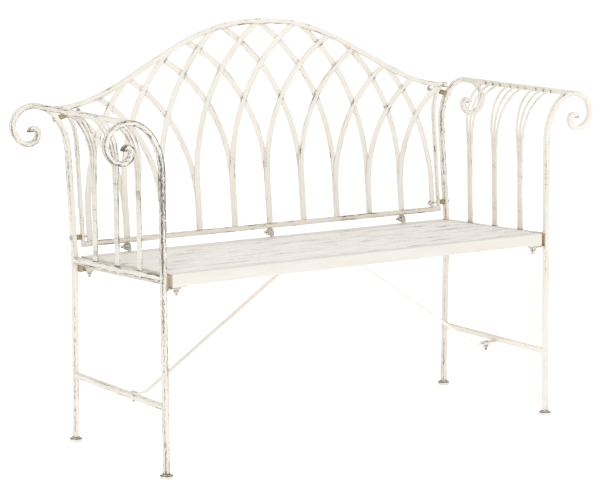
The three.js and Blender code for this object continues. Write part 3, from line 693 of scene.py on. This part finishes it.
# %% Rails, stiles and lattice
RAIL = bar_section(12, 8, 1.3)
x = np.linspace(-TIP_X, TIP_X, 170)
top_line = np.stack([x, 0 * x, ogee(x)], 1)
top_wear = 0.34 + 0.1 * np.cos(x / 90)
x = np.linspace(-494.5, 494.5, 60)
bottom_line = np.stack([x, 0 * x, 0 * x], 1)
LUGS = np.array([-4, 0, 4]) * NODE
lug_plates = [plate((lug - PLATE, -7, -23), (lug, 7, -5), wear=0.55, warm=0.5) for lug in LUGS]


def panel_piece(node, skins, shift):
    """A piece drawn in the panel's own plane, leaned with it."""
    build(f"{node}_painted", leaned(skins, PANEL, BACK_LEAN), cream_paint, node, shift)


panel_piece("back_top_rail", [carry(top_line, RAIL, soft=2.0, wear=top_wear)], 0.2)
panel_piece("back_bottom_rail", [carry(bottom_line, RAIL, wear=0.45, warm=0.5)] + lug_plates, 1.9)
for word, sign in SIDES:
    stile = carry(stile_line(), bar_section(8, 8, 1.1), wear=0.4, warm=0.45)
    panel_piece(f"back_{word}_stile", mirrored([stile], sign), 3.1 + sign)

STRIP = bar_section(14, 3, 0.7, 2)
LAYERS = (("front", -1), ("rear", 1))
STRIPS = 10
strip_lines = {(word, k): strip_line(k - STRIPS // 2, layer) for word, layer in LAYERS for k in range(STRIPS)}


def wear_and_crossing_shade(line, others):
    """Painted shade where strips cross: wear rises as exp(-(distance / 8) ** 2) with the distance
    to the nearest strip of the other layer, seen from the front, so the dark ground stands for the
    shade at each crossing. Below 120, where neighbours run side by side without crossing, it doesn't rise."""
    away = line[:, None, (0, 2)] - np.concatenate(others)[None, :, (0, 2)]
    high = np.clip((line[:, 2] - 120) / 30, 0, 1)
    return 0.24 + 0.42 * high * np.exp(-((np.linalg.norm(away, axis=2).min(1) / 8) ** 2))


for word, layer in LAYERS:
    others = [line for (side, _), line in strip_lines.items() if side != word]
    for number in range(STRIPS):
        line = strip_lines[word, number]
        strip = carry(line, STRIP, soft=0.5, wear=wear_and_crossing_shade(line, others), warm=0.3)
        foot = bead(line[0] + (0, 0, 5), (4.2, 1.6), wear=0.5)
        panel_piece(f"back_strip_{word}_{number + 1}", [strip, foot], 0.83 * number + 0.4 * layer)
print("pieces so far:", len(PIECES))

# %% [markdown]
# ## The seat
# The seat is a frame of steel angle with seven wide slats laid in it lengthwise. It is drawn
# level from its front edge and tilted, like the real one when it is bolted in.
# %% Seat frame and slats
HALF, DEEP, APRON, FRONT_FLANGE, REAR_FLANGE, SLAT_GAP = 503.0, 381.0, 26.0, 24.0, 33.0, 6.0
SLATS = 7
LEDGE = (-6.3, -3.2)
LEDGE_WIDE, GUSSET_DEEP = 20, 26
CROSS_BAR = (26, 46)
SLAT_DEEP = (DEEP - FRONT_FLANGE - REAR_FLANGE - (SLATS + 1) * SLAT_GAP) / SLATS


def seat_piece(node, skins, material, shift):
    """A piece drawn level from the seat's front edge, tilted with the seat."""
    build(f"{node}_painted", leaned(skins, SEAT_EDGE, SEAT_TILT), material, node, shift)


def seat_frame_skins():
    """Apron and rear rail are angles, so each is an upright and a flange. The end rails have a
    ledge that bears the slats, cross bars bear them near the middle, gussets close the corners
    and three lugs stand up at the back."""
    # Painted shade: the parts under the seat take a warm value of 0.62, which tints them tan for the shade
    # that falls there.
    bare = {"wear": 0.3, "warm": 0.62}
    skins = [plate((-HALF, 0, -APRON), (HALF, PLATE, 0), 1.0, wear=0.08, warm=0.30),
             plate((-HALF, 0.6, -PLATE), (HALF, FRONT_FLANGE, 0), 1.0, wear=0.25, warm=0.2),
             plate((-HALF, DEEP - PLATE, -APRON), (HALF, DEEP, 0), 1.0, **bare),
             plate((-HALF, DEEP - REAR_FLANGE, -PLATE), (HALF, DEEP - 0.6, 0), 1.0, wear=0.3, warm=0.3)]
    for sign in (-1, 1):
        outer = sorted((sign * HALF, sign * (HALF - PLATE)))
        skins.append(plate((outer[0], 0.4, -APRON), (outer[1], DEEP - 0.4, -0.2), 1.0, **bare))
        ledge = sorted((sign * (HALF - LEDGE_WIDE), sign * (HALF - 1)))
        skins.append(plate((ledge[0], 1, LEDGE[0]), (ledge[1], DEEP - 1, LEDGE[1]), **bare))
        middle = sorted((sign * CROSS_BAR[0], sign * CROSS_BAR[1]))
        skins.append(plate((middle[0], 1, LEDGE[0]), (middle[1], DEEP - 1, LEDGE[1]), **bare))
        for y in (0.5, DEEP - GUSSET_DEEP - 0.5):
            gusset = sorted((sign * (HALF - LUG_REACH), sign * (HALF - 0.5)))
            skins.append(plate((gusset[0], y, -APRON - PLATE), (gusset[1], y + GUSSET_DEEP, -25.5), **bare))
    for lug in LUGS:
        skins.append(plate((lug + 0.3, DEEP - 14, -2), (lug + 3.3, DEEP, 15), wear=0.55, warm=0.5))
    return skins


seat_piece("seat_frame", seat_frame_skins(), frame_paint, 4.2)
for number in range(SLATS):
    y = FRONT_FLANGE + SLAT_GAP + number * (SLAT_DEEP + SLAT_GAP)
    slat = plate((-HALF + 2.5, y, -PLATE), (HALF - 2.5, y + SLAT_DEEP, 0), 1.0, wear=0.26, warm=0.12)
    seat_piece(f"seat_slat_{number + 1}", [slat], seat_paint, 1.37 * number)
print("pieces so far:", len(PIECES))

# %% [markdown]
# ## Braces and bolts
# Two flat braces run from the stretchers up to the middle of the seat. Every joint between the
# welded parts is a bolt: a domed head, a thread and a six-sided nut, each a turned profile.
# %% Braces
def bent_line(corners, reach, steps=8):
    """Straight runs whose corners are rounded: at each inner corner a parabola runs from a point
    reach before it to one reach past it, (1 - t)^2 a + 2 t (1 - t) b + t^2 c."""
    corners = np.asarray(corners, float)
    runs = [corners[:1]]
    t = np.linspace(0, 1, steps)[:, None]
    for k in range(1, len(corners) - 1):
        a, b, c = corners[k - 1:k + 2]
        start = b + (a - b) * reach / np.linalg.norm(a - b)
        end = b + (c - b) * reach / np.linalg.norm(c - b)
        runs.append((1 - t) ** 2 * start + 2 * t * (1 - t) * b + t**2 * end)
    return np.concatenate(runs + [corners[-1:]])


low_z = TAB_TOP - 4.8
high_z = seat_z(BRACE_Y) - 8.4
BRACE_BENDS = ((26, high_z), (42, high_z), (461, low_z), (499, low_z))
brace_corners = [(x, BRACE_Y, z) for x, z in BRACE_BENDS]
for place, (word, sign) in enumerate(SIDES):
    brace = carry(bent_line(brace_corners, 12), bar_section(3, 14, 0.7, 2), wear=0.1, warm=0.2)
    build(f"{word}_brace_painted", mirrored([brace], sign), seat_paint,
          f"{word}_brace", 5.3 + place)


# %% Bolts
def bolt_skins(origin, axis, head, nut, tail, shaft, dome, flats, thick, washer):
    """Head, thread and nut along one axis. head and nut are the distances from the origin at
    which the domed head and the nut bear, and the thread ends at tail. shaft, dome, flats and
    washer are radii and thick is the nut's. The thread is a shaft whose rings are alternately
    wider and narrower by 0.22."""
    way = 1.0 if head > nut else -1.0
    a = np.radians([0, 25, 50, 75, 88])
    dome_profile = np.stack([dome * np.cos(a), head + way * (0.8 + 2.7 * np.sin(a))], 1)
    dome_profile = np.concatenate([[[dome - 0.5, head], [dome, head + way * 0.4]], dome_profile])
    nut_profile = [(flats - 0.6, nut), (flats, nut - way * 0.5), (flats, nut - way * (thick - 0.5)),
                   (flats - 0.6, nut - way * thick)]
    turns = np.arange(tail, head, way * 0.55)
    ridge = shaft - 0.22 * (np.arange(len(turns)) % 2)
    ring = [(washer - 0.4, nut + way * 0.05), (washer, nut - way * 0.3), (washer, nut - way * 0.9),
            (washer - 0.4, nut - way * 1.2)]
    paint = {"wear": 0.5, "warm": 0.5}
    return [turned(ring, origin, axis, 24, **paint),
            turned(dome_profile, origin, axis, 20, **paint),
            turned(nut_profile, origin, axis, 6, **paint),
            turned(np.stack([ridge, turns], 1), origin, axis, 14, **paint)]


CORNER_BOLT_X = 486.7
for word, sign in SIDES:
    under = low_z - 1.7
    skins = bolt_skins((BRACE_X, BRACE_Y, 0), (0, 0, 1), TAB_TOP, under, under - 14,
                       shaft=3.0, dome=6.6, flats=6.6, thick=6.0, washer=8.0)
    build(f"{word}_brace_bolt_steel", mirrored(skins, sign), fastener, f"{word}_brace_bolt")
    for which, y in LUG_Y.items():
        under = seat_z(y) - LUG_DROP - 2.9
        skins = bolt_skins((CORNER_BOLT_X, y, 0), (0, 0, 1), under + 7.2, under, under - 14,
                           shaft=3.4, dome=7.0, flats=7.0, thick=7.6, washer=10.0)
        build(f"{word}_{which}_corner_bolt_steel", mirrored(skins, sign), fastener)

# %% [markdown]
# The back is held to the rear posts by two bolts at each end, with a round spacer between stile
# and post. The upper one is tipped to pass square through the flaring bars.
# %% Back bolts and lug bolts
def shift_at(up, across, rise, start):
    """How far an ellipse that turns outwards has gone at a height."""
    part = min(max((up - start) / rise, 0.0), 1.0)
    return across * (1 - math.sqrt(1 - part * part))


def back_bolt_skins(up, tilt, nut):
    """The bolt's axis leaves the stile's line at the height up, dipping outwards by the tilt.
    Halving the interval thirty times finds where it meets the post's line."""
    x = STILE_X + shift_at(up, *STILE_FLARE, STILE_STRAIGHT)
    near, far = 0.0, 46.0
    for _ in range(30):
        reach = (near + far) / 2
        height = PANEL[2] + (up - reach * math.sin(tilt)) * math.cos(BACK_LEAN)
        short = x + reach * math.cos(tilt) < POST_X + shift_at(height, *ARCS[0][0], SCROLL_Z)
        near, far = (reach, far) if short else (near, reach)
    axis = (math.cos(tilt), 0, -math.sin(tilt))
    skins = bolt_skins((x, 0, up), axis, near + 6.1, -nut, -nut - 7.2,
                       shaft=2.2, dome=5.6, flats=5.6, thick=4.2, washer=6.2)
    spacer = [(5.6, 4.2), (6.0, 4.6), (6.0, near - 6.2), (5.6, near - 5.8)]
    # The spacer sits in shade between stile and post, and its warm value paints that shade in as golden
    # brown.
    return skins + [turned(spacer, (x, 0, up), axis, 20, wear=0.5, warm=SHADE_GOLDEN)]


BACK_BOLTS = (("low", 16.3, 0.0, 24.6), ("high", 287.0, math.radians(15), 26.0))
for word, sign in SIDES:
    for which, up, tilt, nut in BACK_BOLTS:
        skins = leaned(mirrored(back_bolt_skins(up, tilt, nut), sign), PANEL, BACK_LEAN)
        build(f"{word}_back_bolt_{which}_steel", skins, fastener,
              f"{word}_back_bolt_{which}")

for number, lug in enumerate(LUGS):
    skins = bolt_skins((lug, 0, -14.5), (1, 0, 0), 3.3, -3.0, -17.0,
                       shaft=3.2, dome=7.6, flats=7.0, thick=6.4, washer=8.2)
    skins = leaned(skins, PANEL, BACK_LEAN)
    build(f"back_lug_bolt_{number + 1}_steel", skins, fastener)
print("pieces:", len(PIECES), "faces:", sum(len(p.data.polygons) for p in PIECES))

# %% [markdown]
# ## Studio
# The bench stands on a plain pale floor in soft light: a white room, a broad lamp high on the
# left and a weaker one from the right, so that the tops and the outer sides read apart.
# %% Floor, light and camera
def plain_floor():
    """One wide square that glows a little, so that it looks white to its far edge."""
    mesh = bpy.data.meshes.new("floor")
    reach = 30.0
    mesh.from_pydata([(-reach, -reach, 0), (reach, -reach, 0), (reach, reach, 0), (-reach, reach, 0)],
                     [], [(0, 1, 2, 3)])
    finish = Finish("pale_floor")
    pale = {"Base Color": (0.94, 0.94, 0.94, 1), "Roughness": 1.0, "Specular IOR Level": 0.0,
            "Emission Color": (1, 1, 1, 1), "Emission Strength": 0.36}
    mesh.materials.append(finish.shown(finish.node("ShaderNodeBsdfPrincipled", {}, pale)))
    floor = bpy.data.objects.new("floor", mesh)
    bpy.context.scene.collection.objects.link(floor)
    return floor


def lamp(name, place, target, size, power):
    """A square lamp turned to shine at the target."""
    light = bpy.data.lights.new(name, "AREA")
    light.size = size
    light.energy = power
    holder = bpy.data.objects.new(name, light)
    bpy.context.scene.collection.objects.link(holder)
    holder.location = place
    holder.rotation_euler = (holder.location - Vector(target)).to_track_quat("Z", "Y").to_euler()
    return holder


scene = bpy.context.scene
plain_floor()
lamp("high_left", (-2.2, -2.6, 3.6), (0, 0, 0.4), 2.6, 56)
lamp("low_right", (3.2, -2.2, 1.8), (0, 0, 0.5), 2.4, 12)
world = bpy.data.worlds.new("white_room")
world.use_nodes = True
world.node_tree.nodes["Background"].inputs["Color"].default_value = (1, 1, 1, 1)
world.node_tree.nodes["Background"].inputs["Strength"].default_value = 0.8
scene.world = world
scene.view_settings.view_transform = "Standard"

EYE = (-3.0348, -4.2741, 1.2827)
YAW, PITCH, ROLL = -0.613373, -0.1557535, 0.007669
ahead = np.array([-math.sin(YAW) * math.cos(PITCH), math.cos(YAW) * math.cos(PITCH), math.sin(PITCH)])
right = np.array([math.cos(YAW), math.sin(YAW), 0.0])
up = np.cross(right, ahead)
right, up = (math.cos(ROLL) * right + math.sin(ROLL) * up, math.cos(ROLL) * up - math.sin(ROLL) * right)
camera = bpy.data.objects.new("camera", bpy.data.cameras.new("camera"))
scene.collection.objects.link(camera)
rows = [[right[k], up[k], -ahead[k], EYE[k]] for k in range(3)]
camera.matrix_world = Matrix(rows + [[0, 0, 0, 1]])
camera.data.lens = 140.68
camera.data.sensor_width = 36.0
camera.data.shift_x = -0.0048
camera.data.shift_y = -0.0366
scene.camera = camera
